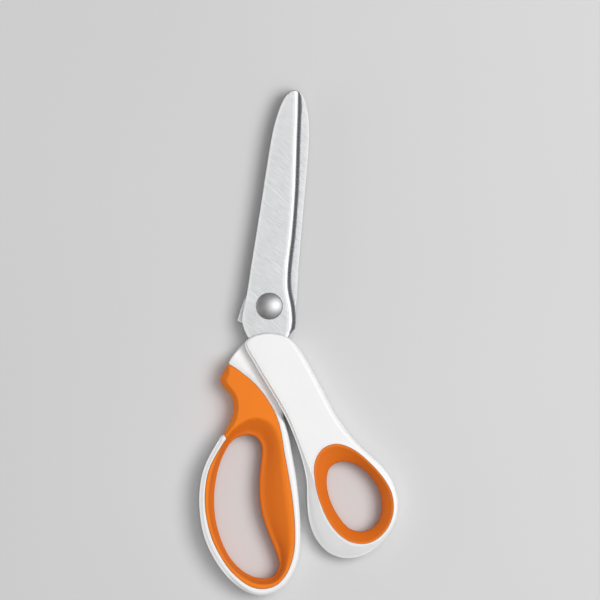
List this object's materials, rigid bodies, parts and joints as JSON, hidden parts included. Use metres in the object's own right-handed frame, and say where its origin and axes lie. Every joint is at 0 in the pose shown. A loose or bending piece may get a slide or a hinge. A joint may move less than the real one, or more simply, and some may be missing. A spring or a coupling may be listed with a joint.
{
  "type": "pinking shears",
  "caption": "Fabric shears whose blades carry meshing zigzag teeth, with a domed pivot screw, a small thumb loop and a larger finger loop with soft linings.",
  "frame": {"origin": "on the pivot axis, in the plane that the closed shears rest on, which is the outer face of the pivot nut", "axes": "+Y along the closed blades to their tips, +Z along the pivot axis towards the domed screw head, +X to the side of the thumb loop"},
  "size_m": [0.0944, 0.2397, 0.013],
  "materials": {
    "blade_steel": "fine slanting brush lines on the flats, ground and polished along the cutting edge",
    "screw_steel": "satin, blasted",
    "acetal": "moulded, smooth",
    "spring_steel": "bright rolled strip",
    "white_plastic": "hard moulded plastic with a fine satin texture",
    "soft_grip": "soft overmoulded elastomer, matt"
  },
  "bodies": {
    "rear_half": {"rear_blade": "blade_steel", "rear_handle": "white_plastic", "finger_grip": "soft_grip", "pivot_screw": "screw_steel", "pivot_nut": "screw_steel", "pivot_spacer": "acetal", "spring_washer": "spring_steel"},
    "front_half": {"front_blade": "blade_steel", "front_handle": "white_plastic", "thumb_grip": "soft_grip"}
  },
  "joints": [
    {"name": "blade_pivot", "type": "hinge", "parent": "rear_half", "child": "front_half", "pos_m": [0, 0, 0.0065], "axis": [0, 0, 1], "range_deg": [0, 50]}
  ]
}
